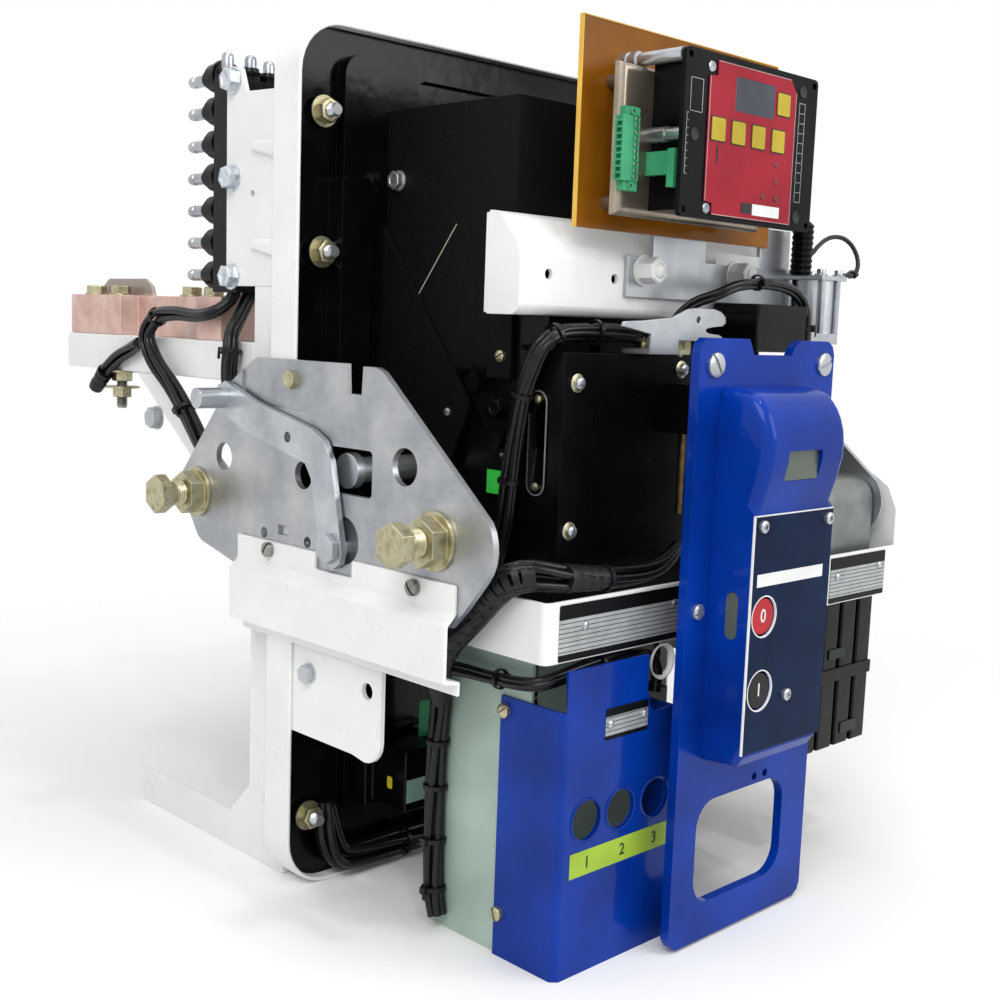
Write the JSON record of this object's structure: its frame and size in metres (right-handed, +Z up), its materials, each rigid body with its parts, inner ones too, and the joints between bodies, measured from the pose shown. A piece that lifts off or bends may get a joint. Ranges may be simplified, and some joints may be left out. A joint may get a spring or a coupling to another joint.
{
  "type": "draw-out low-voltage power circuit breaker",
  "caption": "Draw-out power circuit breaker on a pressed steel back pan, with side racking plates, trip unit, operating panel with push buttons and handle, and rear terminals.",
  "frame": {"origin": "middle of the back pan's front lip, at floor level", "axes": "+Z up, the operating face looks along -Y, the rear terminals point along +Y, +X is the right-hand side seen from the front"},
  "size_m": [0.45, 0.57, 0.537],
  "materials": {
    "white_paint": "semi-gloss",
    "black_moulding": "glossy",
    "zinc_steel": "galvanised, satin",
    "yellow_zinc": "yellow-chromated steel",
    "copper": "tarnished copper",
    "plated_pins": "silver plated",
    "black_paint": "semi-gloss",
    "insulating_board": "matt",
    "bare_aluminium": "satin",
    "blue_paint": "gloss",
    "grey_green_paint": "semi-gloss",
    "navy_legend": "satin",
    "red_button": "glossy",
    "amber_board": "satin, phenolic board",
    "red_face": "satin",
    "green_plug": "satin",
    "cable": "satin"
  },
  "bodies": {
    "frame": {"back_pan": "white_paint", "base_moulding": "black_moulding", "side_plate_left": "zinc_steel", "side_plate_right": "zinc_steel", "racking_bolts_left": "yellow_zinc", "racking_bolts_right": "yellow_zinc", "lever_shaft": "zinc_steel", "racking_shaft": "zinc_steel", "rail_left": "white_paint", "rail_right": "white_paint", "rear_leg_left": "white_paint", "rear_leg_right": "white_paint", "pan_bracket_left": "white_paint", "pan_bracket_right": "white_paint", "terminal_shelf": "white_paint", "terminal_left": "copper", "terminal_centre": "copper", "terminal_right": "copper", "shelf_braces": "white_paint", "disconnect_bracket": "white_paint", "disconnect_block": "black_moulding", "disconnect_block_top": "black_moulding", "disconnect_pins": "plated_pins", "mechanism_frame_left": "black_paint", "mechanism_frame_right": "black_paint", "mechanism_cross": "black_paint", "mechanism_linkage": "black_paint", "arc_chutes": "insulating_board", "arc_barrier": "insulating_board", "barrier_shields": "insulating_board", "cross_beam": "white_paint", "mechanism_tray": "white_paint", "mechanism_box": "black_paint", "motor_cover": "bare_aluminium", "lower_cover": "blue_paint", "side_panels": "grey_green_paint", "current_sensors": "black_moulding", "auxiliary_switch": "black_moulding", "panel_plate": "blue_paint", "panel_supports": "black_paint", "panel_housing": "blue_paint", "panel_indicator": "black_moulding", "panel_legend": "navy_legend", "insulating_sheet": "amber_board", "trip_unit_bracket": "zinc_steel", "trip_unit_base": "bare_aluminium", "trip_unit_case": "black_moulding", "trip_unit_face": "red_face", "terminal_plugs": "green_plug", "trip_actuator": "zinc_steel", "catch_plate": "zinc_steel", "relay_block": "black_moulding", "wire_looms": "cable"},
    "trip_button_body": {"trip_button": "red_button"},
    "close_button_body": {"close_button": "black_moulding"},
    "lever_body": {"interlock_lever": "zinc_steel"}
  },
  "joints": [
    {"name": "trip_button_slide", "type": "slide", "parent": "frame", "child": "trip_button_body", "axis": [0, 1, 0], "range_m": [0, 0.004], "stiffness_N_per_m": 400},
    {"name": "close_button_slide", "type": "slide", "parent": "frame", "child": "close_button_body", "axis": [0, 1, 0], "range_m": [0, 0.004], "stiffness_N_per_m": 400},
    {"name": "interlock_lever_pivot", "type": "hinge", "parent": "frame", "child": "lever_body", "pos_m": [-0.196, -0.05, 0.229], "axis": [1, 0, 0], "range_deg": [-6, 0], "stiffness_Nm_per_rad": 8}
  ]
}
